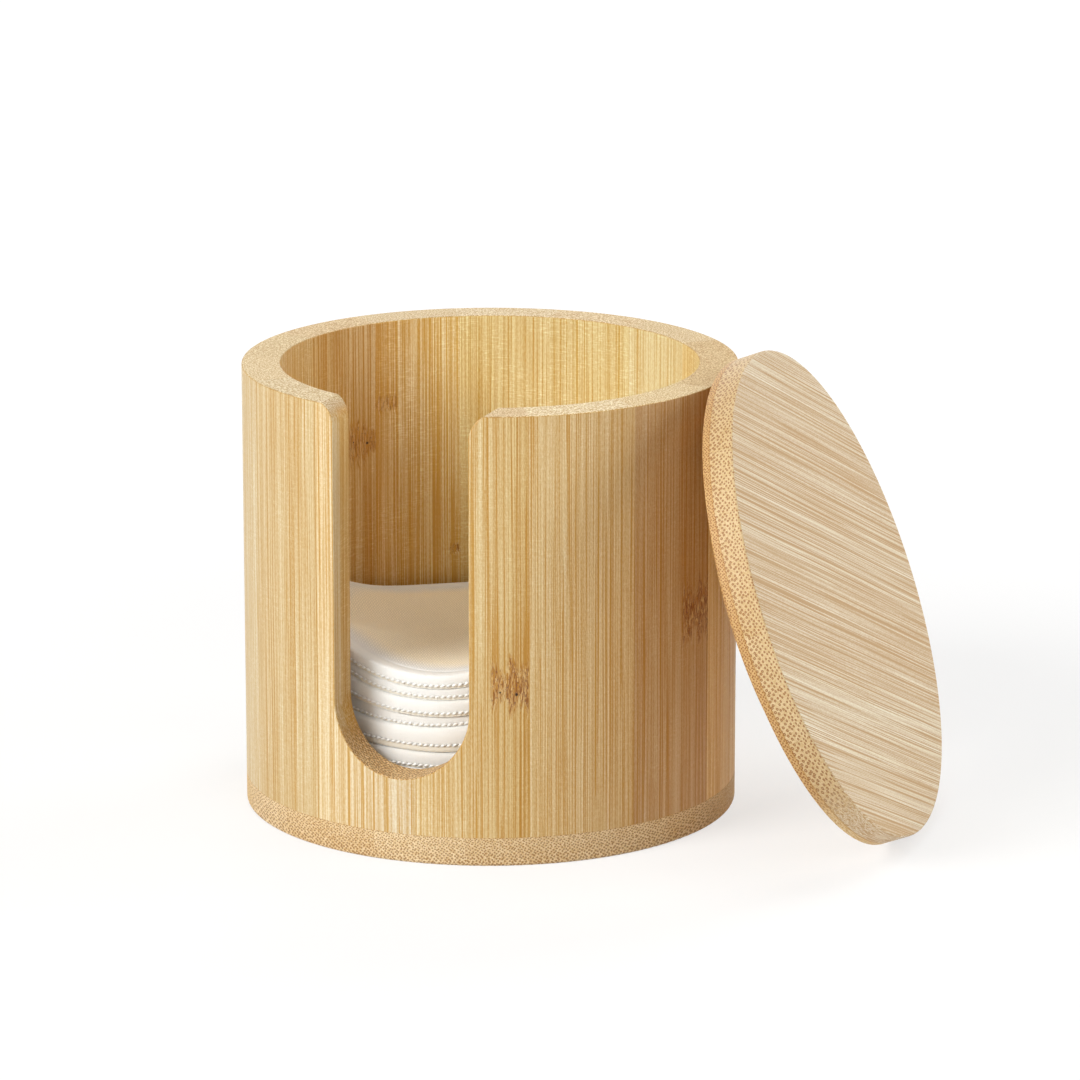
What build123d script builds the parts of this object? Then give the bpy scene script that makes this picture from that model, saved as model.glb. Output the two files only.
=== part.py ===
from build123d import *
import os
from math import asin, atan2, cos, degrees, hypot, radians, sin

# Bamboo dispenser for round washable make-up pads, in millimetres.
# Z is up, the origin is the centre of the base's underside, and the slot faces -Y.
# The lid is off: it stands on the floor and leans against the wall on the +X side.

# Wall: a ring of laminated bamboo staves, glued and then turned
body_diameter = 105.0
wall_thickness = 8.2
rim_height = 95.5
stave_count = 14
first_joint_angle = 17.2        # degrees from +X to a glue joint
edge_break = 0.3                # rounding of the rim and of the slot's edges

# Slot: open at the rim, with a half-round bottom. Its corners at the rim were sanded by hand:
# each is an arc that runs smoothly out of the slot's side and meets the rim with a slight crease.
slot_width = 29.8
slot_bottom_height = 17.9
slot_left_corner_radius = 4.85  # left as seen from the front
slot_left_corner_reach = 2.8    # how far along the rim the corner starts
slot_right_corner_radius = 6.0
slot_right_corner_reach = 3.0

# Base: two plies, the upper one stepped up into the bore
base_lower_ply_thickness = 2.95
base_upper_ply_thickness = 5.15
base_step_height = 1.95
base_step_clearance = 0.1       # radial, filled by glue
base_edge_rounding = 0.6

# Lid: two plies, the under one stepped down to plug the bore
lid_overhang = 0.4              # the lid's edge stands this far outside the wall
lid_top_ply_thickness = 5.15
lid_under_flange_thickness = 1.65
lid_plug_height = 3.5
lid_plug_clearance = 0.5        # radial, a loose lift-off fit
lid_top_edge_rounding = 0.5
lid_under_edge_rounding = 0.3
lid_plug_rounding = 0.5

# The lid's place, leaning
lid_tilt = 68.9                 # degrees between the lid's face and the floor
lid_heading = 4.1               # degrees from +X round to the way the lid faces
lid_side_shift = -3.8           # the lid's centre lies this far to one side of that heading
lid_lean_clearance = 0.05
lid_contact_drop = 4.0          # the plug meets the wall at least this far below the rim

# Pads: two discs of cloth with an overlocked edge, in one stack
pad_count = 9
pad_side_clearance = 2.8        # radial, to the bore
pad_cloth_thickness = 1.15
pad_thread_thickness = 0.35
pad_thread_clearance = 0.05
pad_stitch_width = 3.0
pad_gap = 0.3                   # between pads, and under the lowest

# Worked-out sizes
body_radius = body_diameter / 2
bore_radius = body_radius - wall_thickness
stave_angle = 360 / stave_count
shoulder_height = base_lower_ply_thickness + base_upper_ply_thickness - base_step_height
floor_height = base_lower_ply_thickness + base_upper_ply_thickness
slot_half_width = slot_width / 2
slot_arc_height = slot_bottom_height + slot_half_width
lid_radius = body_radius + lid_overhang
lid_plug_radius = bore_radius - lid_plug_clearance
pad_radius = bore_radius - pad_side_clearance
pad_thickness = 2 * (pad_cloth_thickness + pad_thread_thickness)
pad_pitch = pad_thickness + pad_gap


def disc(radius, low, high):
    return Pos(0, 0, low) * extrude(Circle(radius), high - low)


def rounded_rim(part, radius, height, rounding):
    """The disc with its circular edge of this radius and height rounded."""
    edges = [e for e in part.edges().filter_by(GeomType.CIRCLE)
             if abs(e.radius - radius) < 0.01 and abs(e.center(CenterOf.BOUNDING_BOX).Z - height) < 0.01]
    return fillet(edges, rounding)


def corner_drop(radius, reach):
    """How far below the rim an arc, upright at its foot, starts to lean out by this reach."""
    return (radius ** 2 - (radius - reach) ** 2) ** 0.5


def slot_cutter():
    """The slot's outline, seen from the front, pushed back through the front wall."""
    left = -slot_half_width
    right = slot_half_width
    left_end = left - slot_left_corner_reach
    right_end = right + slot_right_corner_reach
    left_top = rim_height - corner_drop(slot_left_corner_radius, slot_left_corner_reach)
    right_top = rim_height - corner_drop(slot_right_corner_radius, slot_right_corner_reach)
    above = rim_height + wall_thickness
    with BuildLine(Plane.XZ) as outline:
        ThreePointArc((left, slot_arc_height), (0, slot_bottom_height), (right, slot_arc_height))
        Line((right, slot_arc_height), (right, right_top))
        RadiusArc((right, right_top), (right_end, rim_height), slot_right_corner_radius)
        Polyline((right_end, rim_height), (right_end, above), (left_end, above), (left_end, rim_height))
        RadiusArc((left_end, rim_height), (left, left_top), slot_left_corner_radius)
        Line((left, left_top), (left, slot_arc_height))
    face = make_face(outline.line)
    return extrude(face, body_radius + wall_thickness)


def turned_wall():
    """The whole ring with its slot, before it is told apart into staves."""
    ring = disc(body_radius, shoulder_height, rim_height) - disc(bore_radius, 0, rim_height + 1)
    ring = ring - slot_cutter()
    widest = slot_half_width + max(slot_left_corner_reach, slot_right_corner_reach)

    def runs_along_an_edge(edge):
        points = [edge @ share for share in (0.02, 0.5, 0.98)]
        if max(p.Z for p in points) < shoulder_height + 0.01:
            return False
        on_outside = all(abs(hypot(p.X, p.Y) - body_radius) < 0.01 for p in points)
        on_inside = all(abs(hypot(p.X, p.Y) - bore_radius) < 0.01 for p in points)
        level = max(p.Z for p in points) - min(p.Z for p in points) < 0.01
        in_slot = all(p.Y < 0 and abs(p.X) < widest + 0.01 for p in points)
        return (on_outside or on_inside) and (level or in_slot)

    return fillet(ring.edges().filter_by(runs_along_an_edge), edge_break)


def stave_wedge(number):
    start = radians(first_joint_angle + number * stave_angle)
    end = start + radians(stave_angle)
    reach = 2 * body_radius
    corners = [(0, 0), (reach * cos(start), reach * sin(start)), (reach * cos(end), reach * sin(end))]
    return extrude(make_face(Polyline(*corners, close=True)), 2 * rim_height)


def wall_staves():
    wall = turned_wall()
    return {f"wall_stave_{number + 1:02d}": wall & stave_wedge(number) for number in range(stave_count)}


def base_plies():
    lower = rounded_rim(disc(body_radius, 0, base_lower_ply_thickness), body_radius, 0, base_edge_rounding)
    step_radius = bore_radius - base_step_clearance
    upper = disc(body_radius, base_lower_ply_thickness, shoulder_height)
    upper = upper + disc(step_radius, base_lower_ply_thickness, floor_height)
    return {"base_lower_ply": lower, "base_upper_ply": upper}


def lean():
    """Where the lid stands: its tilt, and the place of the middle of its flange's underside.

    It stands on its lower edge. It is as near to the wall as the plug's upper corner and the
    flange's meeting with the rim both allow, and flatter than lid_tilt where the rim is too low.
    """
    reach = lid_radius - lid_under_edge_rounding + lid_plug_radius - lid_plug_rounding
    depth = lid_under_edge_rounding + lid_plug_height - lid_plug_rounding
    rise = rim_height - lid_contact_drop - lid_under_edge_rounding
    tilt = lid_tilt
    if rise < hypot(reach, depth):
        tilt = min(tilt, degrees(asin(rise / hypot(reach, depth)) + atan2(depth, reach)))
    s = sin(radians(tilt))
    c = cos(radians(tilt))
    height = (lid_radius - lid_under_edge_rounding) * s - lid_under_edge_rounding * c + lid_under_edge_rounding
    by_plug = body_radius + lid_lean_clearance + lid_plug_rounding
    by_plug += (lid_plug_radius - lid_plug_rounding) * c + (lid_plug_height - lid_plug_rounding) * s
    by_rim = body_radius - edge_break
    by_rim += ((rim_height - edge_break - height) * c + edge_break + lid_lean_clearance) / s
    return tilt, max(by_plug, by_rim), height


def lid_plies():
    """Both plies, made flat with the flange's underside at height 0, then stood against the wall."""
    flange = lid_under_flange_thickness
    top_height = flange + lid_top_ply_thickness
    top = rounded_rim(disc(lid_radius, flange, top_height), lid_radius, top_height, lid_top_edge_rounding)
    under = disc(lid_radius, 0, flange) + disc(lid_plug_radius, -lid_plug_height, flange)
    under = rounded_rim(under, lid_radius, 0, lid_under_edge_rounding)
    under = rounded_rim(under, lid_plug_radius, -lid_plug_height, lid_plug_rounding)
    tilt, distance, height = lean()
    place = Rot(0, 0, lid_heading) * Pos(distance, lid_side_shift, height) * Rot(0, tilt, 0)
    return {"lid_top_ply": place * top, "lid_under_ply": place * under}


def pad_pieces(number):
    """One pad: two discs of cloth, and the thread that wraps their edges."""
    low = floor_height + pad_gap + number * pad_pitch
    middle = low + pad_thickness / 2
    cloth_radius = pad_radius - pad_thread_thickness
    under_cloth = disc(cloth_radius, middle - pad_cloth_thickness, middle)
    top_cloth = disc(cloth_radius, middle, middle + pad_cloth_thickness)
    thread = disc(pad_radius, low, low + pad_thickness)
    thread = thread - disc(cloth_radius + pad_thread_clearance, middle - pad_cloth_thickness,
                           middle + pad_cloth_thickness)
    thread = thread - disc(pad_radius - pad_stitch_width, low - 1, low + pad_thickness + 1)
    name = f"pad_{number + 1}"
    return {f"{name}_top_cloth": top_cloth, f"{name}_under_cloth": under_cloth,
            f"{name}_edge_thread": thread}


pieces = wall_staves()
pieces.update(base_plies())
pieces.update(lid_plies())
for pad_number in range(pad_count):
    pieces.update(pad_pieces(pad_number))

os.makedirs("parts", exist_ok=True)
for node, piece in pieces.items():
    export_step(piece, f"parts/{node}.step")

lid_lean_tilt, lid_distance, lid_centre_height = lean()
print(f"{len(pieces)} nodes; lid at {lid_lean_tilt:.2f} degrees, {lid_distance:.2f} mm out, "
      f"{lid_centre_height:.2f} mm up; top of the pads at {floor_height + pad_count * pad_pitch:.2f} mm")
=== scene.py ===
import math

import bpy
from mathutils import Matrix, Vector, noise


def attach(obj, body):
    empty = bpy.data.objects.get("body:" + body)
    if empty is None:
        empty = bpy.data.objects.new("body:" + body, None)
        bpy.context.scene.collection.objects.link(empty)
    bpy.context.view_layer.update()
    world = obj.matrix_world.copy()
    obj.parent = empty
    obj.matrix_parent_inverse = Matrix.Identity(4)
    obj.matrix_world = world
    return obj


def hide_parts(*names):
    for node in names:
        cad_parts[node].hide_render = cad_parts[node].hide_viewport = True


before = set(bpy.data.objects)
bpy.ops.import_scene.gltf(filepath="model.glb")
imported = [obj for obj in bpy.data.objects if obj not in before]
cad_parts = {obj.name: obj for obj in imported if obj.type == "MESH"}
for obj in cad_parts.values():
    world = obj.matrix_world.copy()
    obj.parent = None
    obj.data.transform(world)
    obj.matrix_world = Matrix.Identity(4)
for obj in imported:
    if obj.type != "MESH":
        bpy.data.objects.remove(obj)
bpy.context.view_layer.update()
print("frame loaded,", len(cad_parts), "CAD nodes")


# Shared helpers

def hexColour(text):
    # sRGB hex to the linear values that the shaders take
    channels = [int(text[i:i + 2], 16) / 255 for i in (0, 2, 4)]
    return [c / 12.92 if c <= 0.04045 else ((c + 0.055) / 1.055) ** 2.4 for c in channels] + [1.0]


def addNode(tree, kind, settings=None, links=None):
    # a key is a property of the node, the name of an input in use, or an input's number; a link
    # starts at an output, or at a node's first output in use, and a plain number is set instead
    node = tree.nodes.new(kind)

    def inputAt(key):
        if isinstance(key, int):
            return node.inputs[key]
        return next(s for s in node.inputs if s.enabled and s.name == key)

    for key, value in (settings or {}).items():
        if isinstance(key, str) and key in node.bl_rna.properties:
            setattr(node, key, value)
        else:
            inputAt(key).default_value = value
    for key, start in (links or {}).items():
        if isinstance(start, float):
            inputAt(key).default_value = start
        elif isinstance(start, bpy.types.Node):
            tree.links.new(next(s for s in start.outputs if s.enabled), inputAt(key))
        else:
            tree.links.new(start, inputAt(key))
    return node


def newGroup(name, inputs, outputs):
    tree = bpy.data.node_groups.new(name, "ShaderNodeTree")
    for direction, sockets in (("INPUT", inputs), ("OUTPUT", outputs)):
        for label, kind in sockets:
            tree.interface.new_socket(name=label, in_out=direction, socket_type="NodeSocket" + kind)
    return tree, tree.nodes.new("NodeGroupInput"), tree.nodes.new("NodeGroupOutput")


def newMaterial(name):
    material = bpy.data.materials.new(name)
    material.use_nodes = True
    material.node_tree.nodes.clear()
    return material, material.node_tree


# Bamboo, cut into strips, glued, turned and fine sanded: a pale straw ground with golden fibre
# lines along the grain, and the fibre bundles as brown dots wherever the grain is cut across.
# All of it works in a wood frame in millimetres: X across the strips, Y through the ply, Z along.

bamboo = {
    "veinWidth": 0.21,       # mm, the crisp dark fibre lines
    "lineWidth": 0.30,       # mm, the softer ones
    "hairWidth": 0.20,       # mm, the faintest ones
    "cellWidth": 0.22,       # mm, short cells between the fibres
    "gritWidth": 0.34,       # mm, the texture of a cut across the grain
    "hairs": 0.38, "cells": 0.22, "tail": 0.15,      # how much stain these take
    "pale": 0.50,            # how strong the light fibres are
    "lighter": (1.12, 1.23, 1.45, 1.0),      # what a light fibre multiplies the colour by
    "pit": "33200F",
    "relief": 0.00006,       # m, how deep the fibres, dots and pits are felt
    "dotRelief": -0.8, "pitRelief": -9.0,    # as shares of a cell's
    "roughness": 0.52, "specular": 0.35,
}


def makeKnuckleGroup():
    # where a strip crosses a joint of the culm: a patch, and the darker fibres that lead into it
    tree, given, out = newGroup("bambooKnuckle",
                                [("Point", "Vector"), ("Place", "Vector"), ("Reach", "Vector"),
                                 ("Strength", "Float")], [("Mask", "Float"), ("Tail", "Float")])
    away = addNode(tree, "ShaderNodeVectorMath", {"operation": "SUBTRACT"},
                   {0: given.outputs["Point"], 1: given.outputs["Place"]})
    share = addNode(tree, "ShaderNodeVectorMath", {"operation": "DIVIDE"},
                    {0: away, 1: given.outputs["Reach"]})
    size = addNode(tree, "ShaderNodeVectorMath", {"operation": "ABSOLUTE"}, {0: share})
    parts = addNode(tree, "ShaderNodeSeparateXYZ", None, {0: size})
    side = given.outputs["Strength"]
    # each fibre ends at a height of its own
    column = addNode(tree, "ShaderNodeTexNoise", {"noise_dimensions": "2D", "Scale": 1.3, "Detail": 2.0},
                     {"Vector": given.outputs["Point"]})
    uneven = addNode(tree, "ShaderNodeMapRange",
                     {"From Min": 0.3, "From Max": 0.7, "To Min": -0.4, "To Max": 0.4},
                     {"Value": column})
    for axis in ("X", "Y"):
        fade = addNode(tree, "ShaderNodeMapRange",
                       {"interpolation_type": "SMOOTHSTEP", "From Min": 0.75, "From Max": 1.0,
                        "To Min": 1.0, "To Max": 0.0}, {"Value": parts.outputs[axis]})
        side = addNode(tree, "ShaderNodeMath", {"operation": "MULTIPLY"}, {0: side, 1: fade})
    along = addNode(tree, "ShaderNodeSeparateXYZ", None, {0: share})
    for label, source, start, end in (("Mask", parts, 0.4, 1.0), ("Tail", along, 0.3, 3.6)):
        place = addNode(tree, "ShaderNodeMath", {"operation": "ADD"},
                        {0: source.outputs["Z"], 1: uneven})
        fade = addNode(tree, "ShaderNodeMapRange",
                       {"interpolation_type": "SMOOTHSTEP", "From Min": start, "From Max": end,
                        "To Min": 1.0, "To Max": 0.0}, {"Value": place})
        if label == "Tail":      # only above the patch
            above = addNode(tree, "ShaderNodeMapRange",
                            {"interpolation_type": "SMOOTHSTEP", "From Min": -0.6, "From Max": 0.4},
                            {"Value": along.outputs["Z"]})
            fade = addNode(tree, "ShaderNodeMath", {"operation": "MULTIPLY"}, {0: fade, 1: above})
        mask = addNode(tree, "ShaderNodeMath", {"operation": "MULTIPLY"}, {0: side, 1: fade})
        tree.links.new(mask.outputs[0], out.inputs[label])
    return tree


def makeGrainGroup():
    tree, given, out = newGroup("bambooGrain",
                                [("Point", "Vector"), ("Offset", "Vector"), ("End", "Float"),
                                 ("Edge", "Float"), ("Skin", "Float"), ("Knuckle", "Float"),
                                 ("Tail", "Float"), ("Pit", "Float"), ("Turned", "Float"),
                                 ("Ground", "Color"), ("CutGround", "Color"), ("Stain", "Color"),
                                 ("CutStain", "Color"), ("Bundle", "Color"),
                                 ("Lines", "Float"), ("Streaks", "Float"), ("Dots", "Float"),
                                 ("Bands", "Float"), ("Grit", "Float"), ("DotScale", "Float")],
                                [("Colour", "Color"), ("Height", "Float")])
    take = given.outputs
    start = addNode(tree, "ShaderNodeVectorMath", {"operation": "ADD"},
                    {0: take["Point"], 1: take["Offset"]})
    # the fibres wander a little along their length, and much more in a knuckle
    slow = addNode(tree, "ShaderNodeVectorMath", {"operation": "MULTIPLY", 1: (0.03, 0.03, 0.009)},
                   {0: start})
    drift = addNode(tree, "ShaderNodeTexNoise", {"Scale": 1.0, "Detail": 2.0}, {"Vector": slow})
    loose = addNode(tree, "ShaderNodeVectorMath", {"operation": "MULTIPLY", 1: (1.0, 1.0, 0.45)},
                    {0: start})
    curl = addNode(tree, "ShaderNodeTexNoise", {"Scale": 0.55, "Detail": 3.0}, {"Vector": loose})
    bend = addNode(tree, "ShaderNodeVectorMath", {"operation": "MULTIPLY_ADD", 1: (1.0, 0.15, 0.0)},
                   {0: drift.outputs["Color"], 2: start})
    curlSize = addNode(tree, "ShaderNodeVectorMath", {"operation": "SCALE"},
                       {0: curl.outputs["Color"], "Scale": take["Knuckle"]})
    fibre = addNode(tree, "ShaderNodeVectorMath", {"operation": "MULTIPLY_ADD", 1: (0.6, 0.4, 0.0)},
                    {0: curlSize, 2: bend})

    # fibre bundles show as dots across the grain: large with a paler middle towards the inside
    # of the culm, small, dark and close together towards its skin
    skinSquare = addNode(tree, "ShaderNodeMath", {"operation": "POWER", 1: 2.0}, {0: take["Skin"]})
    crowd = addNode(tree, "ShaderNodeCombineXYZ", None, {"Y": skinSquare})
    crowd = addNode(tree, "ShaderNodeVectorMath", {"operation": "SCALE", "Scale": 1.6}, {0: crowd})
    packed = addNode(tree, "ShaderNodeVectorMath", {"operation": "MULTIPLY_ADD", 1: (1.0, 0.85, 1.0)},
                     {0: fibre, 2: crowd})
    turned = addNode(tree, "ShaderNodeVectorRotate", {"rotation_type": "Z_AXIS", "Angle": 0.6},
                     {"Vector": packed})
    cell = addNode(tree, "ShaderNodeTexVoronoi", {"voronoi_dimensions": "2D", "Randomness": 0.48},
                   {"Vector": turned, "Scale": take["DotScale"]})
    distance = addNode(tree, "ShaderNodeMath", {"operation": "MULTIPLY_ADD", 1: 0.10},
                       {0: take["Skin"], 2: cell.outputs["Distance"]})
    body = addNode(tree, "ShaderNodeMapRange",
                   {"interpolation_type": "SMOOTHSTEP", "From Min": 0.28, "From Max": 0.41,
                    "To Min": 1.0, "To Max": 0.0}, {"Value": distance})
    middle = addNode(tree, "ShaderNodeMapRange",
                     {"interpolation_type": "SMOOTHSTEP", "From Min": 0.05, "From Max": 0.23,
                      "To Min": 0.3, "To Max": 1.0}, {"Value": distance})
    dot = addNode(tree, "ShaderNodeMath", {"operation": "MULTIPLY"}, {0: body, 1: middle})

    # name: squeeze, scale per mm, detail, and the stretch of the noise that is used
    layers = {}
    for label, squeeze, scale, detail, low, high in (
            ("bands", (1.0, 1.0, 0.008), 0.30, 2.0, 0.36, 0.64),       # broad tones across a strip
            ("veins", (1.0, 1.0, 0.003), 1 / bamboo["veinWidth"], 0.0, 0.60, 0.66),
            ("lines", (1.0, 1.0, 0.002), 1 / bamboo["lineWidth"], 1.0, 0.54, 0.66),
            ("hairs", (1.0, 1.0, 0.004), 1 / bamboo["hairWidth"], 1.0, 0.36, 0.64),
            ("pale", (1.0, 1.0, 0.003), 3.4, 1.0, 0.55, 0.64),         # light fibres
            ("cells", (1.0, 1.0, 0.30), 1 / bamboo["cellWidth"], 1.0, 0.36, 0.64),
            ("grit", (1.0, 1.0, 1.0), 1 / bamboo["gritWidth"], 1.0, 0.40, 0.62),
            ("along", (0.6, 0.6, 0.015), 1.0, 2.0, 0.36, 0.60),        # where a vein is fainter
            ("patches", (1.0, 1.0, 0.7), 0.10, 2.0, 0.38, 0.56),       # where turning marks are left
            ("turned", (0.12, 0.12, 1.0), 4.6, 1.0, 0.50, 0.68)):      # those marks, across the grain
        stretched = addNode(tree, "ShaderNodeVectorMath",
                            {"operation": "MULTIPLY_ADD", 1: squeeze, 2: (31.0 * len(layers), 7.0, 3.0)},
                            {0: start if label == "turned" else fibre})
        pattern = addNode(tree, "ShaderNodeTexNoise", {"Scale": scale, "Detail": detail},
                          {"Vector": stretched})
        layers[label] = addNode(tree, "ShaderNodeMapRange",
                                {"interpolation_type": "SMOOTHSTEP", "From Min": low,
                                 "From Max": high}, {"Value": pattern})

    # how much golden stain each fibre carries, seen from the side and across the grain
    side = addNode(tree, "ShaderNodeMath", {"operation": "SUBTRACT", 0: 1.0}, {1: take["End"]})
    uneven = addNode(tree, "ShaderNodeMapRange", {"To Min": 0.5, "To Max": 1.0},
                     {"Value": layers["along"]})
    leading = addNode(tree, "ShaderNodeMath", {"operation": "MULTIPLY_ADD", 1: 0.6},
                      {0: take["Tail"], 2: take["Lines"]})
    fromLines = 0.0
    for label, weight in (("veins", uneven), ("lines", leading), ("hairs", bamboo["hairs"])):
        fromLines = addNode(tree, "ShaderNodeMath", {"operation": "MULTIPLY_ADD"},
                            {0: layers[label], 1: weight, 2: fromLines})
    fromLines = addNode(tree, "ShaderNodeMath", {"operation": "MULTIPLY"}, {0: fromLines, 1: side})
    fromGrit = addNode(tree, "ShaderNodeMath", {"operation": "MULTIPLY"},
                       {0: layers["grit"], 1: take["End"]})
    density = take["Edge"]
    for part, weight in ((fromLines, take["Streaks"]), (layers["bands"], take["Bands"]),
                         (layers["cells"], bamboo["cells"]), (take["Tail"], bamboo["tail"]),
                         (fromGrit, take["Grit"])):
        density = addNode(tree, "ShaderNodeMath", {"operation": "MULTIPLY_ADD"},
                          {0: part, 1: weight, 2: density})
    ground = addNode(tree, "ShaderNodeMix", {"data_type": "RGBA"},
                     {"Factor": take["End"], "A": take["Ground"], "B": take["CutGround"]})
    stain = addNode(tree, "ShaderNodeMix", {"data_type": "RGBA"},
                    {"Factor": take["End"], "A": take["Stain"], "B": take["CutStain"]})
    colour = addNode(tree, "ShaderNodeMix", {"data_type": "RGBA", "blend_type": "MULTIPLY"},
                     {"Factor": density, "A": ground, "B": stain})
    marks = addNode(tree, "ShaderNodeMath", {"operation": "MULTIPLY"},
                    {0: layers["patches"], 1: take["Turned"]})
    for label, amount in (("pale", bamboo["pale"]), ("turned", marks)):
        share = addNode(tree, "ShaderNodeMath", {"operation": "MULTIPLY"}, {0: layers[label], 1: side})
        share = addNode(tree, "ShaderNodeMath", {"operation": "MULTIPLY"}, {0: share, 1: amount})
        colour = addNode(tree, "ShaderNodeMix",
                         {"data_type": "RGBA", "blend_type": "MULTIPLY", "B": bamboo["lighter"]},
                         {"Factor": share, "A": colour})
    dotShare = addNode(tree, "ShaderNodeMath", {"operation": "MULTIPLY"}, {0: dot, 1: take["End"]})
    dotShare = addNode(tree, "ShaderNodeMath", {"operation": "MULTIPLY"},
                       {0: dotShare, 1: take["Dots"]})
    colour = addNode(tree, "ShaderNodeMix", {"data_type": "RGBA"},
                     {"Factor": dotShare, "A": colour, "B": take["Bundle"]})

    # a knuckle: short dark fibres that end there, pale lenses and specks between them, black pits
    for squeeze, scale, low, high, strength, mode, tint in (
            ((1.0, 1.0, 0.5), 0.5, 0.0, 0.1, 0.32, "MULTIPLY", "E2B878"),         # all of the patch
            ((1.0, 1.0, 0.13), 3.8, 0.50, 0.60, 0.75, "MULTIPLY", "B48C60"),      # dark fibres
            ((1.0, 1.0, 0.22), 2.4, 0.57, 0.65, 0.50, "MIX", "E4C488"),           # lenses
            ((1.0, 1.0, 0.40), 4.2, 0.60, 0.66, 0.80, "MIX", "7A5440")):          # specks
        stretched = addNode(tree, "ShaderNodeVectorMath",
                            {"operation": "MULTIPLY_ADD", 1: squeeze, 2: (3.0 * scale, 17.0, 5.0)},
                            {0: fibre})
        pattern = addNode(tree, "ShaderNodeTexNoise", {"Scale": scale, "Detail": 2.0},
                          {"Vector": stretched})
        share = addNode(tree, "ShaderNodeMapRange",
                        {"interpolation_type": "SMOOTHSTEP", "From Min": low, "From Max": high,
                         "To Max": strength}, {"Value": pattern})
        share = addNode(tree, "ShaderNodeMath", {"operation": "MULTIPLY"},
                        {0: share, 1: take["Knuckle"]})
        colour = addNode(tree, "ShaderNodeMix",
                         {"data_type": "RGBA", "blend_type": mode, "B": hexColour(tint)},
                         {"Factor": share, "A": colour})
    colour = addNode(tree, "ShaderNodeMix", {"data_type": "RGBA", "B": hexColour(bamboo["pit"])},
                     {"Factor": take["Pit"], "A": colour})

    height = layers["cells"]
    for part, weight in ((dotShare, bamboo["dotRelief"]), (take["Pit"], bamboo["pitRelief"])):
        height = addNode(tree, "ShaderNodeMath", {"operation": "MULTIPLY_ADD"},
                         {0: part, 1: weight, 2: height})
    tree.links.new(colour.outputs[2], out.inputs["Colour"])
    tree.links.new(height.outputs[0], out.inputs["Height"])
    return tree


knuckleGroup = makeKnuckleGroup()
grainGroup = makeGrainGroup()


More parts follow.
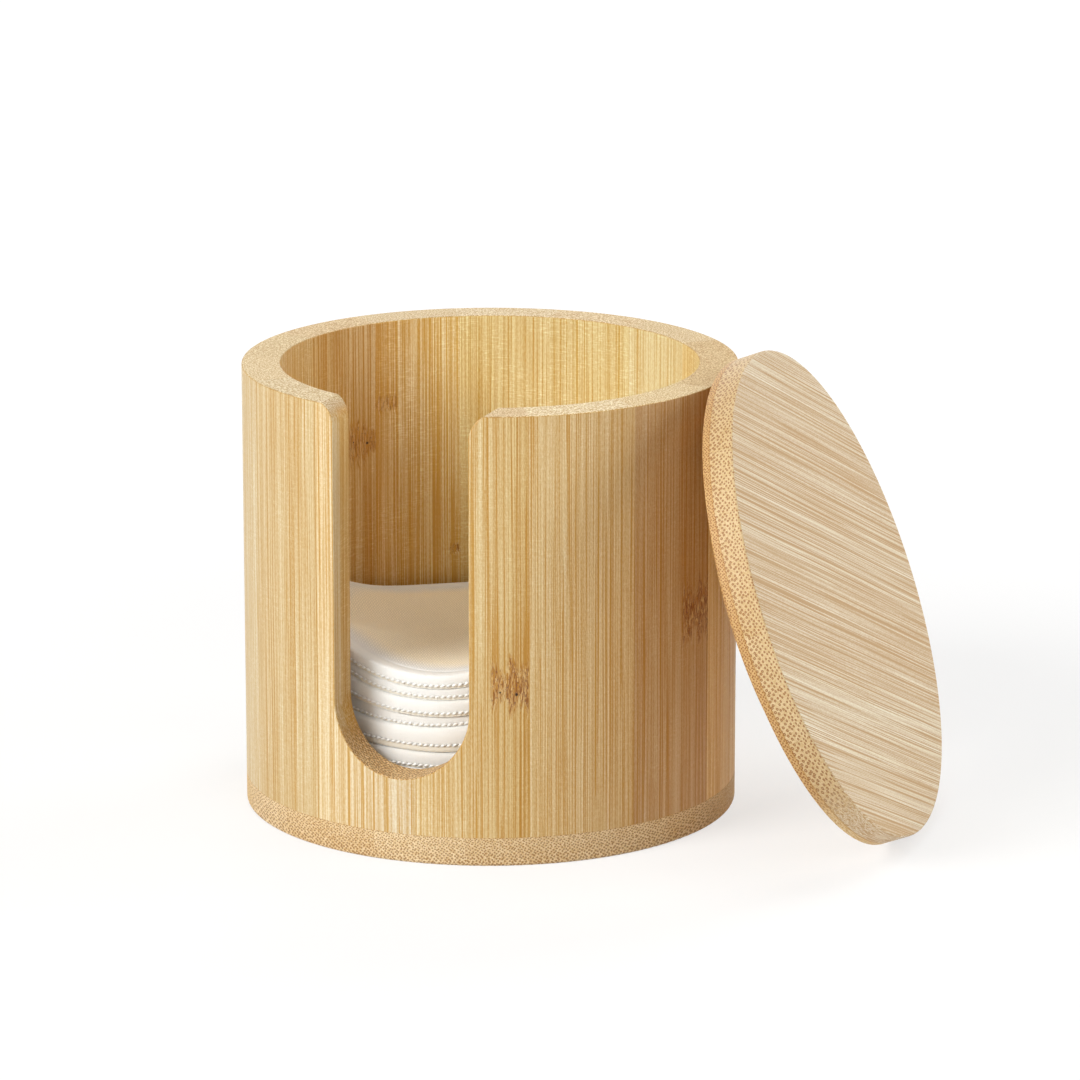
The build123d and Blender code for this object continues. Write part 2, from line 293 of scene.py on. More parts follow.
def bambooMaterial(name, across, depth, fibre, look, knuckles=(), pits=()):
    # across, depth and fibre are the wood frame's axes in the object's frame
    material, tree = newMaterial(name)
    axes = Matrix((across, depth, fibre)).transposed()
    here = addNode(tree, "ShaderNodeTexCoord")
    point = addNode(tree, "ShaderNodeMapping",
                    {"vector_type": "TEXTURE", "Location": look.get("origin", (0.0, 0.0, 0.0)),
                     "Rotation": axes.to_euler(), "Scale": (0.001,) * 3},
                    {"Vector": here.outputs["Object"]})
    facing = addNode(tree, "ShaderNodeVectorMath", {"operation": "DOT_PRODUCT", 1: fibre},
                     {0: here.outputs["Normal"]})
    cut = addNode(tree, "ShaderNodeMath", {"operation": "ABSOLUTE"}, {0: facing.outputs["Value"]})
    end = addNode(tree, "ShaderNodeMapRange",
                  {"interpolation_type": "SMOOTHSTEP", "From Min": look["endFrom"],
                   "From Max": look["endTo"]}, {"Value": cut})
    parts = addNode(tree, "ShaderNodeSeparateXYZ", None, {0: point})
    skin = addNode(tree, "ShaderNodeMapRange",
                   {"From Min": look["skin"][0], "From Max": look["skin"][1]},
                   {"Value": parts.outputs["Y"]})
    # rounded edges across the grain hold more stain, and so does the glue between two plies
    slant = addNode(tree, "ShaderNodeMath", {"operation": "PINGPONG", 1: 0.5}, {0: cut})
    edge = addNode(tree, "ShaderNodeMath", {"operation": "MULTIPLY", 1: look["edge"]}, {0: slant})
    if "glueLine" in look:
        fromGlue = addNode(tree, "ShaderNodeMath", {"operation": "SUBTRACT", 1: look["glueLine"]},
                           {0: parts.outputs["Y"]})
        fromGlue = addNode(tree, "ShaderNodeMath", {"operation": "ABSOLUTE"}, {0: fromGlue})
        glue = addNode(tree, "ShaderNodeMapRange",
                       {"interpolation_type": "SMOOTHSTEP", "From Min": 0.03, "From Max": 0.2,
                        "To Min": look["glue"], "To Max": 0.0}, {"Value": fromGlue})
        edge = addNode(tree, "ShaderNodeMath", {"operation": "ADD"}, {0: edge, 1: glue})
    links = {"Point": point, "End": end, "Skin": skin, "Edge": edge}
    if "strips" in look:           # glued side by side, each with its own tone and its own fibres
        first, width, tones = look["strips"]
        share = addNode(tree, "ShaderNodeMapRange",
                        {"From Min": first, "From Max": first + width * len(tones)},
                        {"Value": parts.outputs["X"]})
        strip = addNode(tree, "ShaderNodeValToRGB", None, {"Fac": share})
        strip.color_ramp.interpolation = "CONSTANT"
        for place, tone in enumerate(tones):
            stop = strip.color_ramp.elements[0] if place == 0 else \
                strip.color_ramp.elements.new(place / len(tones))
            stop.color = (tone, tone, tone, 1.0)
        strip.color_ramp.elements.remove(strip.color_ramp.elements[-1])      # its own last stop
        tone = strip.outputs["Color"]
        links["Edge"] = addNode(tree, "ShaderNodeMath", {"operation": "ADD"}, {0: edge, 1: tone})
        links["Offset"] = addNode(tree, "ShaderNodeVectorMath",
                                  {"operation": "MULTIPLY_ADD", 1: (171.0, 93.0, 531.0),
                                   2: look["offset"]}, {0: tone})
    if "lowDots" in look:          # cuts near the floor were sanded less: more golden, more dots
        high = addNode(tree, "ShaderNodeMapRange",
                       {"From Min": look["lowTo"], "From Max": look["highFrom"]},
                       {"Value": parts.outputs["Z"]})
        links["Dots"] = addNode(tree, "ShaderNodeMapRange",
                                {"To Min": look["lowDots"], "To Max": look["dots"]}, {"Value": high})
        links["CutGround"] = addNode(tree, "ShaderNodeMix",
                                     {"data_type": "RGBA", "A": hexColour(look["lowCut"]),
                                      "B": hexColour(look["cutGround"])}, {"Factor": high})
    if "innerGround" in look:
        # a stave's tone changes from one side to the other, partly its own and partly painted light and
        # shade that follows how the light falls round the pot, and the ply on the inside differs
        side = addNode(tree, "ShaderNodeMapRange",
                       {"From Min": look["halfWidth"], "From Max": -look["halfWidth"]},
                       {"Value": parts.outputs["X"]})
        tones = [addNode(tree, "ShaderNodeMix",
                         {"data_type": "RGBA", "A": hexColour(look[first]), "B": hexColour(look[last])},
                         {"Factor": side})
                 for first, last in (("ground", "groundTo"), ("innerGround", "innerGroundTo"))]
        inner = addNode(tree, "ShaderNodeMath", {"operation": "LESS_THAN", 1: look["plyLine"]},
                        {0: parts.outputs["Y"]})
        links["Ground"] = addNode(tree, "ShaderNodeMix", {"data_type": "RGBA"},
                                  {"Factor": inner, "A": tones[0], "B": tones[1]})
        for label, value, innerValue in (("Turned", look["turned"], look["innerTurned"]),
                                         ("Streaks", look["streaks"], look["innerStreaks"])):
            links[label] = addNode(tree, "ShaderNodeMapRange",
                                   {"To Min": value, "To Max": innerValue}, {"Value": inner})
    patches = []
    for place, reach, strength in knuckles:
        patch = addNode(tree, "ShaderNodeGroup", {"node_tree": knuckleGroup}, {"Point": point})
        for key, value in (("Place", place), ("Reach", reach), ("Strength", strength)):
            patch.inputs[key].default_value = value
        patches.append(patch)
    for label in ("Mask", "Tail"):
        mask = None
        for patch in patches:
            mask = patch.outputs[label] if mask is None else \
                addNode(tree, "ShaderNodeMath", {"operation": "MAXIMUM"},
                        {0: mask, 1: patch.outputs[label]}).outputs[0]
        if mask:
            links["Knuckle" if label == "Mask" else "Tail"] = mask
    for place, size in pits:
        away = addNode(tree, "ShaderNodeVectorMath", {"operation": "DISTANCE", 1: place}, {0: point})
        pit = addNode(tree, "ShaderNodeMapRange",
                      {"interpolation_type": "SMOOTHSTEP", "From Min": size * 0.55,
                       "From Max": size * 1.2, "To Min": 1.0, "To Max": 0.0},
                      {"Value": away.outputs["Value"]})
        links["Pit"] = addNode(tree, "ShaderNodeMath", {"operation": "MAXIMUM"},
                               {0: links["Pit"], 1: pit}) if "Pit" in links else pit
    grain = addNode(tree, "ShaderNodeGroup", {"node_tree": grainGroup}, links)
    for key in ("Offset", "Lines", "Streaks", "Dots", "Bands", "Grit", "Turned"):
        grain.inputs[key].default_value = look[key.lower()]
    for key in ("Ground", "CutGround", "Stain", "CutStain", "Bundle"):
        grain.inputs[key].default_value = hexColour(look[key[0].lower() + key[1:]])
    grain.inputs["DotScale"].default_value = 1 / look["dotSpacing"]
    bump = addNode(tree, "ShaderNodeBump", {"Strength": 0.35, "Distance": bamboo["relief"]},
                   {"Height": grain.outputs["Height"]})
    shader = addNode(tree, "ShaderNodeBsdfPrincipled",
                     {"Roughness": bamboo["roughness"], "Specular IOR Level": bamboo["specular"],
                      "IOR": 1.5}, {"Base Color": grain.outputs["Colour"], "Normal": bump})
    addNode(tree, "ShaderNodeOutputMaterial", None, {"Surface": shader})
    return material


# Wall: 14 upright staves round the pot, each an outer and an inner ply. The tones of a ply are
# given at both sides of each stave, counted round the pot as the CAD does. They are partly the
# strips' own tones and partly painted light and shade, which follows how the light falls round
# the pot, beside the lid and inside it.

wall = {
    "firstJoint": 17.2, "staveAngle": 360 / 14,     # degrees, as in the CAD
    "outerRadius": 52.5, "boreRadius": 44.3,        # mm, as in the CAD
    "outerFrom": ["D4BB8A", "DBC593", "DEC999", "DCC595", "DAC595", "DCC99B", "D8C79D",
                  "DDD1B0", "D8C79F", "E3D3AC", "E5D7B0", "DEC99A", "CBAE85", "F1D6A2"],
    "outerTo": ["D4BB8A", "DBC593", "DEC999", "DCC595", "DAC595", "DCC99B", "D8C79D",
                "DDD1B0", "D7C69D", "E1D6BB", "D5BB82", "D9C092", "D4B58E", "F9E2B2"],
    # inside ply: partly its own tone, partly painted light that lifts the staves lying in shade inside
    # the pot
    "innerFrom": ["F0DA9C", "EEE1AF", "E6D79F", "E8D8A2", "FFF5C6", "E7CC9C", "E7D3A5",
                  "E2C991", "DFC48C", "E2CB97", "E4CD99", "E4CD99", "E2C790", "C8A066"],
    "innerTo": ["F0DA9C", "E9DEAF", "EADCA6", "F3E2A6", "F0D6A6", "DFC186", "E1CFAC",
                "E2C991", "DFC48C", "E2CB97", "E4CD99", "E4CD99", "E2C790", "C8A066"],
    # across the grain, at the rim and in the slot; partly the end grain's own tone, partly painted light
    # and shade
    "cut": ["E4CC98", "EFDEB4", "F1DFB6", "F2E4C0", "EBDBB3", "E7D1A2", "E8D6A8",
            "EDDCB0", "E8D9B0", "EBDBB7", "EAD5A8", "F8EBC5", "F3E2B4", "E3CB95"],
    "innerStreaks": (0.8, 2.1),      # of staves 1 to 4, and of the others
    "offset": (13.7, 5.1, 21.3),     # mm, from one stave's pattern to the next
    "both": {"plyLine": 48.45, "skin": (44.0, 53.0), "halfWidth": 11.7,      # mm
             "lowTo": 60.0, "highFrom": 90.0,        # mm up, where the low look ends
             "stain": "D6B06A", "cutStain": "C6AC84", "bundle": "75501F", "lowCut": "EED2A0",
             "lines": 0.30, "streaks": 1.25, "dots": 0.12, "lowDots": 1.0, "dotSpacing": 0.72,
             "bands": 0.10, "grit": 1.3, "edge": 0.7, "turned": 0.45, "innerTurned": 1.0,
             "endFrom": 0.3, "endTo": 0.75},
    "knuckleDepth": 4.0,             # mm
}
# knuckles: stave, degrees round the pot, height, which ply, half width, half height, strength
wallKnuckles = [
    (11, 296.1, 38.6, "outer", 4.6, 5.6, 1.1),
    (13, 346.4, 48.6, "outer", 5.6, 6.8, 1.4),
    (6, 150.6, 69.2, "inner", 4.2, 4.6, 0.75),
    (5, 142.6, 77.2, "inner", 3.2, 2.2, 0.7),
    (5, 121.4, 43.0, "inner", 1.6, 2.0, 0.8),
    (3, 78.0, 63.0, "outer", 4.2, 5.0, 0.85),
    (6, 160.0, 30.0, "outer", 4.2, 5.0, 0.85),
    (1, 36.0, 71.0, "outer", 3.6, 5.0, 0.8),
]
# pits in them: stave, degrees, height, which ply, radius
wallPits = [
    (11, 297.3, 36.9, "outer", 0.34), (11, 293.6, 37.4, "outer", 0.22),
    (11, 297.7, 39.4, "outer", 0.10), (13, 347.8, 45.6, "outer", 0.20),
    (6, 148.9, 69.0, "inner", 0.34), (6, 153.8, 69.7, "inner", 0.18),
    (3, 79.5, 61.5, "outer", 0.3), (6, 158.6, 28.6, "outer", 0.26), (1, 37.0, 69.8, "outer", 0.28),
]


def onStave(number, angle, height, ply):
    # a place on the wall in the stave's wood frame
    turn = math.radians(angle - wall["firstJoint"] - (number - 0.5) * wall["staveAngle"])
    radius = wall["outerRadius"] if ply == "outer" else wall["boreRadius"]
    return (-radius * math.sin(turn), radius * math.cos(turn), height)


for number in range(1, 15):
    middle = math.radians(wall["firstJoint"] + (number - 0.5) * wall["staveAngle"])
    outward = Vector((math.cos(middle), math.sin(middle), 0.0))
    across = Vector((-math.sin(middle), math.cos(middle), 0.0))
    knots = [(onStave(number, angle, height, ply), (halfWidth, wall["knuckleDepth"], halfHeight),
              strength)
             for stave, angle, height, ply, halfWidth, halfHeight, strength in wallKnuckles
             if stave == number]
    pits = [(onStave(number, angle, height, ply), radius)
            for stave, angle, height, ply, radius in wallPits if stave == number]
    look = {
        **wall["both"],
        "ground": wall["outerFrom"][number - 1], "groundTo": wall["outerTo"][number - 1],
        "innerGround": wall["innerFrom"][number - 1], "innerGroundTo": wall["innerTo"][number - 1],
        "cutGround": wall["cut"][number - 1],
        "offset": tuple(step * number for step in wall["offset"]),
        "innerStreaks": wall["innerStreaks"][0 if number < 5 else 1],
    }
    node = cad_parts["wall_stave_%02d" % number]
    # across x outward x up is right handed when across points the other way
    finish = bambooMaterial("turnedBambooStave%02d" % number, -across, outward,
                            Vector((0.0, 0.0, 1.0)), look, knots, pits)
    node.data.materials.clear()
    node.data.materials.append(finish)
print("wall staves finished")


# Base: two plies with the grain running towards the front, so its edge shows dots in front

base = {
    "fibreHeading": 286.0,       # degrees round the pot
    "lower": {},
    "upper": {"glueLine": 6.15, "glue": 0.55},       # mm up, where the wall is glued on
    "both": {"skin": (0.0, 6.15), "offset": (3.0, 4.0, 9.0), "dots": 0.95, "dotSpacing": 0.61,
             "strips": (-60.0, 20.0, [0.05, 0.20, 0.0, 0.12, 0.04, 0.16]),
             "ground": "E0C890", "cutGround": "E8D3AC", "stain": "D6B06A", "cutStain": "D6BE98",
             "bundle": "8A5C26", "lines": 0.30, "streaks": 1.25, "bands": 0.1, "grit": 0.5,
             "edge": 0.0, "turned": 0.05, "endFrom": 0.1, "endTo": 0.5},
}
heading = math.radians(base["fibreHeading"])
along = Vector((math.cos(heading), math.sin(heading), 0.0))
up = Vector((0.0, 0.0, 1.0))
for label in ("lower", "upper"):
    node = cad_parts["base_%s_ply" % label]
    node.data.materials.clear()
    node.data.materials.append(bambooMaterial("sandedBambooBase" + label.capitalize(),
                                              up.cross(along), up, along,
                                              {**base["both"], **base[label]}))


# Lid: leans on the pot, its grain in line with its face

lid = {
    "tilt": 68.9, "leanHeading": 4.1,       # degrees, as in the CAD
    "middle": (71.44, -3.8, 49.27),         # mm, of the flange's underside, unturned
    "fibreAngle": 64.5,                     # degrees from the line down its face
    "both": {"cutStain": "DCC49C", "bands": 0.10, "grit": 0.4, "edge": 0.0, "turned": 0.05,
             "endFrom": 0.2, "endTo": 0.55, "glueLine": 1.65, "glue": 0.6},
    "top": {"ground": "E9DEC2", "cutGround": "DCC59A", "stain": "CFAE88", "bundle": "90561E",
            "skin": (1.4, 7.2), "offset": (71.0, 14.0, 5.0), "lines": 0.8, "streaks": 1.2,
            "dots": 0.90, "dotSpacing": 0.82,
            "strips": (-58.0, 20.0, [0.10, 0.0, 0.16, 0.06, 0.13, 0.03])},
    "under": {"ground": "E8D6AA", "cutGround": "D3AE76", "stain": "D8B070", "bundle": "8A4C10",
              "skin": (-3.0, 5.0), "offset": (27.0, 64.0, 5.0), "lines": 0.35, "streaks": 1.1,
              "dots": 0.95, "dotSpacing": 0.52},
}
lidTurn = Matrix.Rotation(math.radians(lid["leanHeading"]), 3, "Z")
lean = lidTurn @ Matrix.Rotation(math.radians(lid["tilt"]), 3, "Y")
fibreTurn = math.radians(lid["fibreAngle"])
lidAlong = lean @ Vector((math.cos(fibreTurn), math.sin(fibreTurn), 0.0))
lidUp = lean @ Vector((0.0, 0.0, 1.0))
lidOrigin = lidTurn @ Vector(lid["middle"]) / 1000
for label in ("top", "under"):
    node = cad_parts["lid_%s_ply" % label]
    node.data.materials.clear()
    node.data.materials.append(bambooMaterial("sandedBambooLid" + label.capitalize(),
                                              lidUp.cross(lidAlong), lidUp, lidAlong,
                                              {**lid["both"], **lid[label], "origin": lidOrigin}))
print("base and lid finished")


# Cotton: knitted top cloth, terry under cloth, and the sewing thread round the edge

cotton = {
    # colour is the cloth's, and on the knitted top it is tinted warm in the middle as painted shade, the
    # warm light bounced inside the pot; rim is the cloth's near white that it turns to towards the edge,
    # where the front is lit; pitch is mm between rows of loops, relief m, gaps how much painted shade
    # darkens it between them, and inside how much of the light creeps through
    "knitted": {"colour": "FFF2D6", "rim": "EEEEEA", "pitch": 0.55, "relief": 0.00008,
                "gaps": 0.22, "inside": 0.4},
    # the terry's cream is partly its own and partly painted shade: the warm shade in the narrow gaps
    # between the pads
    "terry": {"colour": "EEE8D8", "rim": "EEE8D8", "pitch": 0.6, "relief": 0.00008,
              "gaps": 0.08, "inside": 0.4},
    "thread": {"colour": "F2F2EF", "rim": "F2F2EF", "pitch": 0.4, "relief": 0.00003,
               "gaps": 0.02, "inside": 0.0},
    # where the knitted top's painted shade fades into the rim colour
    "rimFrom": 31.0, "rimTo": 38.6,          # mm from the middle
    "loopsGone": 39.5, "loopsFull": 36.5,    # mm from the middle, of the rows of loops
    "light": 1.6,                # mm that light travels inside the cotton
    "rowTurn": 21.0, "rowCross": 16.0,       # degrees
    "roughness": 0.95, "specular": 0.05, "sheen": 0.03,
}


def cottonMaterial(name, kind):
    # soft spun cotton: no gloss, a faint bloom from its loose fibres, light creeping through it,
    # and rows of small loops that cross at a steep angle
    look = cotton[kind]
    material, tree = newMaterial(name)
    here = addNode(tree, "ShaderNodeTexCoord")
    point = addNode(tree, "ShaderNodeMapping",
                    {"vector_type": "TEXTURE", "Rotation": (0.0, 0.0, math.radians(cotton["rowTurn"])),
                     "Scale": (0.001,) * 3}, {"Vector": here.outputs["Object"]})
    rows = []
    for side in (cotton["rowCross"], -cotton["rowCross"]):
        turned = addNode(tree, "ShaderNodeVectorRotate",
                         {"rotation_type": "Z_AXIS", "Angle": math.radians(side)}, {"Vector": point})
        rows.append(addNode(tree, "ShaderNodeTexWave",
                            {"wave_type": "BANDS", "bands_direction": "X",
                             "Scale": math.pi / 10 / look["pitch"], "Distortion": 2.6,
                             "Detail": 2.0, "Detail Scale": 1.2},
                            {"Vector": turned}).outputs["Fac"])
    flat = addNode(tree, "ShaderNodeVectorMath", {"operation": "MULTIPLY", 1: (1.0, 1.0, 0.0)},
                   {0: point})
    away = addNode(tree, "ShaderNodeVectorMath", {"operation": "LENGTH"}, {0: flat})
    face = addNode(tree, "ShaderNodeMapRange",
                   {"From Min": cotton["loopsGone"], "From Max": cotton["loopsFull"]},
                   {"Value": away.outputs["Value"]})
    loops = addNode(tree, "ShaderNodeMath", {"operation": "MULTIPLY"}, {0: rows[0], 1: rows[1]})
    loops = addNode(tree, "ShaderNodeMath", {"operation": "MULTIPLY"}, {0: loops, 1: face})
    fluff = addNode(tree, "ShaderNodeTexNoise", {"Scale": 2.2, "Detail": 3.0}, {"Vector": point})
    height = addNode(tree, "ShaderNodeMath", {"operation": "ADD"}, {0: loops, 1: fluff})
    # painted shade: the colour is darkened between the rows of loops and in the fluff's hollows
    light = addNode(tree, "ShaderNodeMath", {"operation": "MULTIPLY_ADD", 1: 0.5},
                    {0: fluff, 2: loops})
    shade = addNode(tree, "ShaderNodeMapRange",
                    {"From Min": 0.1, "From Max": 0.9, "To Min": 1.0 - look["gaps"], "To Max": 1.0},
                    {"Value": light})
    shade = addNode(tree, "ShaderNodeMix", {"A": 1.0}, {"Factor": face, "B": shade})
    # painted shade: the middle of the knitted top is tinted warm for the light bounced inside the pot,
    # fading to the rim colour towards the edge
    rim = addNode(tree, "ShaderNodeMapRange",
                  {"interpolation_type": "SMOOTHSTEP", "From Min": cotton["rimFrom"],
                   "From Max": cotton["rimTo"]}, {"Value": away.outputs["Value"]})
    clothAndPaintedShade = addNode(tree, "ShaderNodeMix", {"data_type": "RGBA", "A": hexColour(look["colour"]),
                                          "B": hexColour(look["rim"])}, {"Factor": rim})
    tint = addNode(tree, "ShaderNodeMix", {"data_type": "RGBA", "blend_type": "MULTIPLY",
                                           "Factor": 1.0}, {"A": clothAndPaintedShade, "B": shade})
    bump = addNode(tree, "ShaderNodeBump", {"Strength": 0.6, "Distance": look["relief"]},
                   {"Height": height})
    shader = addNode(tree, "ShaderNodeBsdfPrincipled",
                     {"Roughness": cotton["roughness"], "Specular IOR Level": cotton["specular"],
                      "Sheen Weight": cotton["sheen"], "Sheen Roughness": 0.6,
                      "Subsurface Weight": look["inside"], "Subsurface Radius": (1.0, 1.0, 1.0),
                      "Subsurface Scale": cotton["light"] / 1000}, {"Base Color": tint, "Normal": bump})
    addNode(tree, "ShaderNodeOutputMaterial", None, {"Surface": shader})
    return material


knitFinish = cottonMaterial("knittedCotton", "knitted")
terryFinish = cottonMaterial("terryCotton", "terry")
threadFinish = cottonMaterial("spunCottonThread", "thread")

pads = {
    "count": 9, "radius": 41.3,             # mm
    # height in mm of the line between each pad and the next at the front, lowest first
    "borders": [8.3, 11.4, 14.2, 17.0, 20.65, 25.95, 28.1, 31.5, 34.15, 36.95],
    "seamShare": [0.3, 0.3, 0.3, 0.15, 0.27, 0.16, 0.2, 0.3, 0.22],     # of each pad's thickness
    "rimShift": [0.0, -0.2, 0.1, 0.1, 0.15, -0.55, 0.1, -0.25, 0.1],     # mm
    "gap": 0.05,                            # mm between two pads
    "rippleWidth": 16.0, "rippleHeight": 0.22,      # mm, of the cloth's own unevenness
    "frontRight": (0.930, 0.366),           # cosine and sine, of the swells' frame
    "stitches": 208, "needleLine": 38.3,    # mm
    "pullFrom": 40.0, "pullOver": 1.25, "pull": 0.035,      # mm that a stitch draws the rim in
    "threadRadius": 0.04, "toothRadius": 0.30, "thinRadius": 0.07,      # mm
    "beadShare": 0.8,                       # of a stitch's length
    "beadInset": 0.12, "beadSwell": 0.10, "beadRise": 0.04, "beadSlant": 0.30,      # mm
    "underRecess": 0.15,                    # mm that the under cloth stays back at the rim
    # how round the upper and lower corners of a rim are: 1 is round, 0 square
    "topCorners": (0.55, 0.25), "underCorners": (0.25, 0.4), "stitchCorners": (0.5, 0.3),
    "topRings": (9.0, 18.0, 27.0, 33.0, 36.5, 37.6),        # mm, of points on the top
    "lowRings": (38.0, 34.0, 24.0, 12.0),        # and underneath
    "around": 416,                          # points round the edge
}
# Where the stack leaves a level plane: mm to the right and back as seen from the front right,
# how wide, how high, and the share of it that each border takes, lowest first.
padSwells = [
    (-35.0, -19.0, 16.0, 5.6, [0, 0, 0, 0.03, 0.12, 0.28, 0.62, 0.90, 0.98, 1.06]),
    (5.5, -40.0, 11.0, 3.2, [0, 0, 0.1, 0.25, 0.7, 0.85, 0.75, 0.8, 0.95, 1.0]),
    (-40.0, 20.0, 14.0, 6.0, [0, 0.05, 0.12, 0.22, 0.33, 0.45, 0.58, 0.72, 0.86, 1.0]),
    (-10.0, 38.0, 14.0, -0.9, [0, 0.03, 0.08, 0.16, 0.26, 0.38, 0.52, 0.67, 0.83, 1.0]),
    (2.0, 2.0, 18.0, -0.8, [0, 0.03, 0.08, 0.16, 0.26, 0.38, 0.52, 0.67, 0.83, 1.0]),
]


def borderHeight(index, x, y):
    # the surface between pads index and index + 1
    cosine, sine = pads["frontRight"]
    sideways, back = cosine * x + sine * y, cosine * y - sine * x
    height = pads["borders"][index]
    for atSide, atBack, wide, rise, shares in padSwells:
        away = (sideways - atSide) ** 2 + (back - atBack) ** 2
        height += rise * shares[index] * math.exp(-away / wide ** 2)
    ripple = noise.noise(Vector((x / pads["rippleWidth"], y / pads["rippleWidth"], 3.7 * index)))
    return height + pads["rippleHeight"] * ripple * min(1.0, index / 3)


def padPoint(index, radius, angle, share):
    # share is 0 at the pad's underside and 1 at its top
    x, y = radius * math.cos(angle), radius * math.sin(angle)
    low = borderHeight(index - 1, x, y) + pads["gap"] / 2
    high = borderHeight(index, x, y) - pads["gap"] / 2
    return (x / 1000, y / 1000, (low + (high - low) * share) / 1000)


def clothProfile(bottom, top, radius, thick, corners):
    # radius and share of points down one side of a cloth
    middle, half = (bottom + top) / 2, (top - bottom) / 2
    roll = half * thick
    points = [(r, top) for r in pads["topRings"]]
    # the needle pulls a groove into the top face
    points += [(pads["needleLine"] - 0.25, top - 0.01), (pads["needleLine"], top - 0.075),
               (pads["needleLine"] + 0.3, top - 0.005)]
    for step in range(0, 13):
        angle = math.pi * (0.5 - step / 12)
        cosine, sine = math.cos(angle), math.sin(angle)
        corner = corners[0] if sine > 0 else corners[1]
        points.append((radius - roll + roll * abs(cosine) ** corner,
                       middle + half * math.copysign(abs(sine) ** corner, sine)))
    points += [(r, bottom) for r in pads["lowRings"]]
    return points


def clothMesh(name, index, bottom, top, radius, corners):
    thick = pads["borders"][index] - pads["borders"][index - 1]
    profile = clothProfile(bottom, top, radius, thick, corners)
    turns = pads["around"]
    vertices, faces = [], []
    for r, share in profile:
        for step in range(turns):
            angle = 2 * math.pi * step / turns
            draw = max(0.0, r - pads["pullFrom"]) / pads["pullOver"]
            pull = pads["pull"] * math.cos(angle * pads["stitches"]) * draw
            vertices.append(padPoint(index, r - pull, angle, share))
    for ring in range(len(profile) - 1):
        for step in range(turns):
            after = (step + 1) % turns
            faces.append((ring * turns + step, (ring + 1) * turns + step,
                          (ring + 1) * turns + after, ring * turns + after))
    for ring, share in ((0, top), (len(profile) - 1, bottom)):
        vertices.append(padPoint(index, 0.0, 0.0, share))
        centre = len(vertices) - 1
        for step in range(turns):
            pair = (ring * turns + step, ring * turns + (step + 1) % turns)
            faces.append((centre, *pair) if ring == 0 else (centre, pair[1], pair[0]))
    return meshPiece(name, vertices, faces)


def meshPiece(name, vertices, faces):
    mesh = bpy.data.meshes.new(name)
    mesh.from_pydata(vertices, [], faces)
    mesh.update()
    mesh.shade_smooth()
    piece = bpy.data.objects.new(name, mesh)
    bpy.context.scene.collection.objects.link(piece)
    return piece


def tubeLoop(path, radius, sides=5):
    # vertices and faces of a closed tube along a closed path in metres, with a radius at each point
    vertices, faces, count = [], [], len(path)
    for i, point in enumerate(path):
        here = Vector(point)
        ahead = (Vector(path[(i + 1) % count]) - Vector(path[i - 1])).normalized()
        outward = Vector((here.x, here.y, 0.0)).normalized()
        side = ahead.cross(outward + Vector((0, 0, 0.6)))
        side = side.normalized() if side.length > 1e-6 else Vector((0, 0, 1))
        other = side.cross(ahead)
        for k in range(sides):
            turn = 2 * math.pi * k / sides
            vertices.append(tuple(here + (side * math.cos(turn) + other * math.sin(turn)) * radius[i]))
    for i in range(count):
        j = (i + 1) % count
        for k in range(sides):
            m = (k + 1) % sides
            faces.append((i * sides + k, i * sides + m, j * sides + m, j * sides + k))
    return vertices, faces


def edgeThread(name, index, seam, radius):
    # one thread zigzags over the top cloth's rim; the other lies along its lower edge, where
    # each stitch stands out as a slanted bead; a third zigzags under the pad
    thick = pads["borders"][index] - pads["borders"][index - 1]
    stitches = pads["stitches"]
    profile = clothProfile(seam, 1.0, radius, thick, pads["stitchCorners"])
    upper = [p for p in profile if p[0] >= pads["needleLine"]]
    reach = [upper[0]] + upper[2:12:2]
    profile = clothProfile(0.0, seam, radius - pads["underRecess"], thick, pads["underCorners"])
    under = [p for p in profile if p[0] >= pads["needleLine"] - 0.1][-4:-1]
    paths = []
    for line in (reach, under):
        path = []
        for stitch in range(stitches):
            for half, points in enumerate((line, line[::-1])):
                for step, (r, share) in enumerate(points):
                    part = (half + (step + 0.5) / len(points)) / 2
                    angle = 2 * math.pi * (stitch + part) / stitches
                    path.append(padPoint(index, r, angle, share))
        paths.append((path, [pads["threadRadius"] / 1000] * len(path)))
    beads, sizes, steps, beadShare = [], [], 10, pads["beadShare"]
    for step in range(stitches * steps):
        part = (step % steps) / steps
        angle = 2 * math.pi * step / (stitches * steps)
        if part < beadShare:         # the bead itself, then the short way back to the next
            swell, slant = max(0.0, math.sin(math.pi * part / beadShare)), part / beadShare - 0.5
        else:
            swell, slant = 0.0, 0.5 - (part - beadShare) / (1 - beadShare)
        beads.append(padPoint(index, radius - pads["beadInset"] + pads["beadSwell"] * swell, angle,
                              seam + (pads["beadRise"] + pads["beadSlant"] * slant) / thick))
        extra = (pads["toothRadius"] - pads["thinRadius"]) * swell ** 0.7
        sizes.append((pads["thinRadius"] + extra) / 1000)
    paths.append((beads, sizes))
    vertices, faces = [], []
    for path, size in paths:
        more, quads = tubeLoop(path, size)
        faces += [tuple(v + len(vertices) for v in quad) for quad in quads]
        vertices += more
    return meshPiece(name, vertices, faces)


for index in range(1, pads["count"] + 1):
    seam = pads["seamShare"][index - 1]
    rim = pads["radius"] + pads["rimShift"][index - 1]
    body = "pad_%d" % index
    pieces = (
        (clothMesh("pad%dTopCloth" % index, index, seam + 0.01, 1.0, rim, pads["topCorners"]),
         "top_cloth", "pad_knit", knitFinish),
        (clothMesh("pad%dUnderCloth" % index, index, 0.0, seam - 0.01,
                   rim - pads["underRecess"], pads["underCorners"]),
         "under_cloth", "pad_terry", terryFinish),
        (edgeThread("pad%dEdgeThread" % index, index, seam, rim),
         "edge_thread", "pad_thread", threadFinish))
    for piece, node, slot, finish in pieces:
        piece.data.materials.append(finish)
        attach(piece, body)
        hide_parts("%s_%s" % (body, node))
print("pads made")


# Floor, light and camera

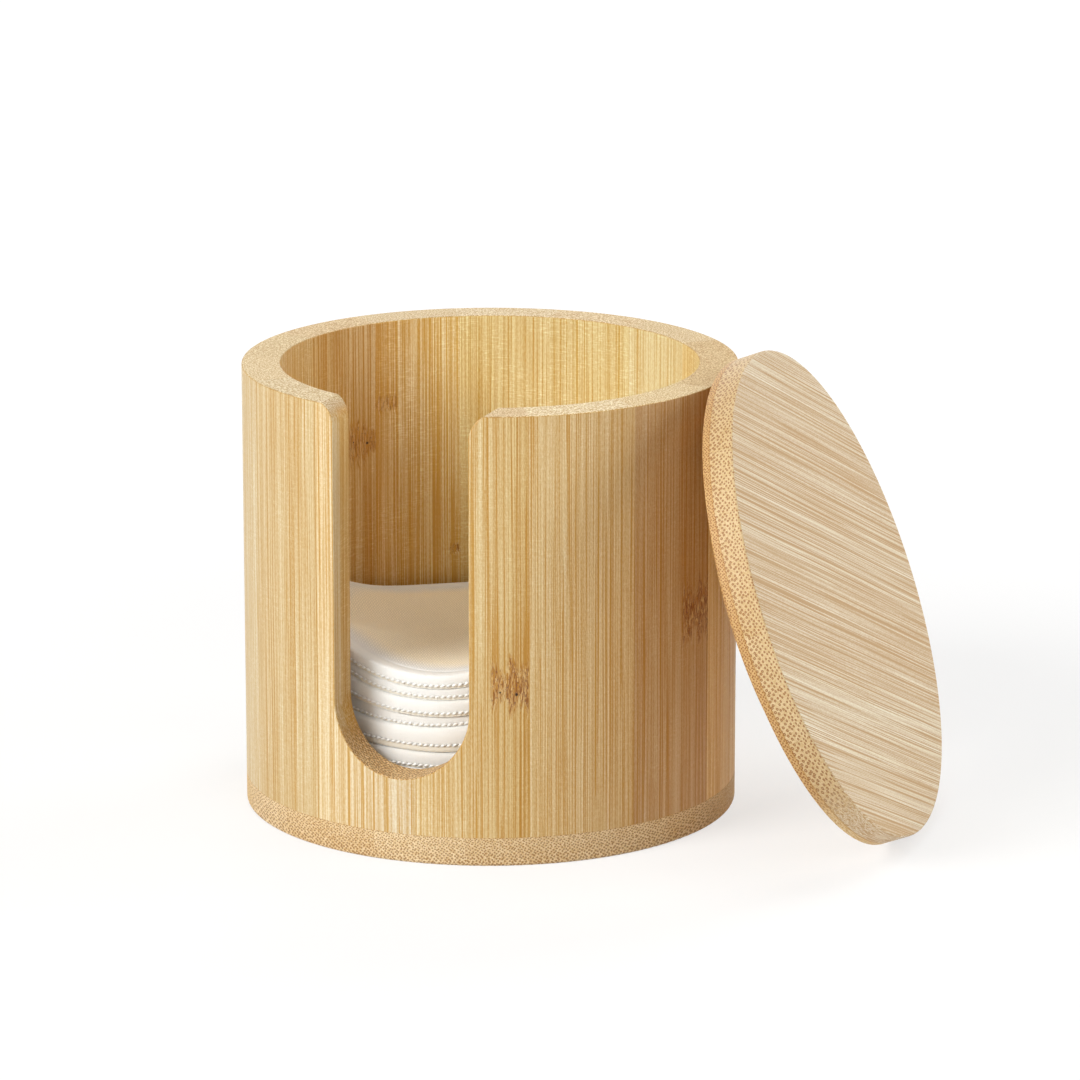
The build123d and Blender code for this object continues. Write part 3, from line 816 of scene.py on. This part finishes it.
studio = {
    "ambient": 0.02,
    # name: degrees left (-) or right (+) of the slot, degrees up, width in m, level
    "lights": {"key": (-30, 30, 0.8, 0.94), "front": (40, 28, 0.8, 0.16),
               "right": (100, 18, 0.8, 0.32), "backRight": (150, 30, 0.8, 0.32),
               "backLeft": (-150, 30, 0.8, 0.13), "top": (0, 88, 0.8, 0.26)},
    "distance": 1.5, "middle": (0.0, 0.0, 0.05),     # m, of the lights and what they aim at
    "floor": "F4F3F1", "floorSize": 2.5, "floorWhite": 1.05,
    "floorShadow": 0.36,          # how much of the floor's shadow the camera sees
    "floorFade": (0.12, 0.38),    # m from the middle, where that shadow ends
    "cameraAt": (0.43049, -1.09311, 0.36051), "cameraTowards": (-0.34660, 0.90387, -0.25080),
    "lens": 189.75, "sensor": 36.0,                  # mm
}


def seenDirectly(tree):
    # 1 where the camera, gloss or glass shows it, and 0 where it lights things
    paths = addNode(tree, "ShaderNodeLightPath")
    seen = addNode(tree, "ShaderNodeMath", {"operation": "ADD"},
                   {0: paths.outputs["Is Camera Ray"], 1: paths.outputs["Is Glossy Ray"]})
    return addNode(tree, "ShaderNodeMath", {"operation": "ADD", "use_clamp": True},
                   {0: seen, 1: paths.outputs["Is Transmission Ray"]})


def makeFloor():
    # matt paper: no gloss, and nothing to see on it but the shadow
    material, tree = newMaterial("mattWhitePaper")
    here = addNode(tree, "ShaderNodeTexCoord")
    away = addNode(tree, "ShaderNodeVectorMath", {"operation": "LENGTH"},
                   {0: here.outputs["Object"]})
    whiter = addNode(tree, "ShaderNodeMapRange",
                     {"interpolation_type": "SMOOTHSTEP", "From Min": studio["floorFade"][0],
                      "From Max": studio["floorFade"][1], "To Min": 1 - studio["floorShadow"],
                      "To Max": 1.0}, {"Value": away.outputs["Value"]})
    share = addNode(tree, "ShaderNodeMath", {"operation": "MULTIPLY"},
                    {0: seenDirectly(tree), 1: whiter})
    paper = addNode(tree, "ShaderNodeBsdfDiffuse", {"Color": hexColour(studio["floor"])})
    white = addNode(tree, "ShaderNodeEmission", {"Strength": studio["floorWhite"]})
    mixed = addNode(tree, "ShaderNodeMixShader", None, {"Fac": share, 1: paper, 2: white})
    addNode(tree, "ShaderNodeOutputMaterial", None, {"Surface": mixed})
    size = studio["floorSize"]
    floor = meshPiece("floor", [(-size, -size, 0), (size, -size, 0), (size, size, 0), (-size, size, 0)],
                      [(0, 1, 2, 3)])
    floor.data.materials.append(material)


def makeWorld():
    world = bpy.data.worlds.new("whiteStudio")
    world.use_nodes = True
    tree = world.node_tree
    tree.nodes.clear()
    room, white = [addNode(tree, "ShaderNodeBackground",
                           {"Strength": strength, "Color": hexColour("FFFFFF")})
                   for strength in (studio["ambient"], 1.0)]
    mixed = addNode(tree, "ShaderNodeMixShader", None,
                    {"Fac": seenDirectly(tree), 1: room, 2: white})
    addNode(tree, "ShaderNodeOutputWorld", None, {"Surface": mixed})
    bpy.context.scene.world = world


def makeLights():
    for name, (side, rise, width, level) in studio["lights"].items():
        turn, lift = math.radians(side), math.radians(rise)
        towards = Vector((math.sin(turn) * math.cos(lift), -math.cos(turn) * math.cos(lift),
                          math.sin(lift)))
        lamp = bpy.data.lights.new(name, "AREA")
        lamp.shape, lamp.size = "DISK", width
        lamp.energy = level * math.pi ** 2 * studio["distance"] ** 2
        holder = bpy.data.objects.new(name, lamp)
        holder.location = Vector(studio["middle"]) + towards * studio["distance"]
        holder.rotation_euler = towards.to_track_quat("Z", "Y").to_euler()
        holder.visible_camera = False
        bpy.context.scene.collection.objects.link(holder)


def makeCamera():
    camera = bpy.data.objects.new("camera", bpy.data.cameras.new("camera"))
    camera.data.sensor_width, camera.data.lens = studio["sensor"], studio["lens"]
    camera.location = studio["cameraAt"]
    camera.rotation_euler = Vector(studio["cameraTowards"]).to_track_quat("-Z", "Y").to_euler()
    bpy.context.scene.collection.objects.link(camera)
    bpy.context.scene.camera = camera


makeFloor()
makeWorld()
makeLights()
makeCamera()
bpy.context.scene.view_settings.view_transform = "Standard"
print("floor, lights and camera set")
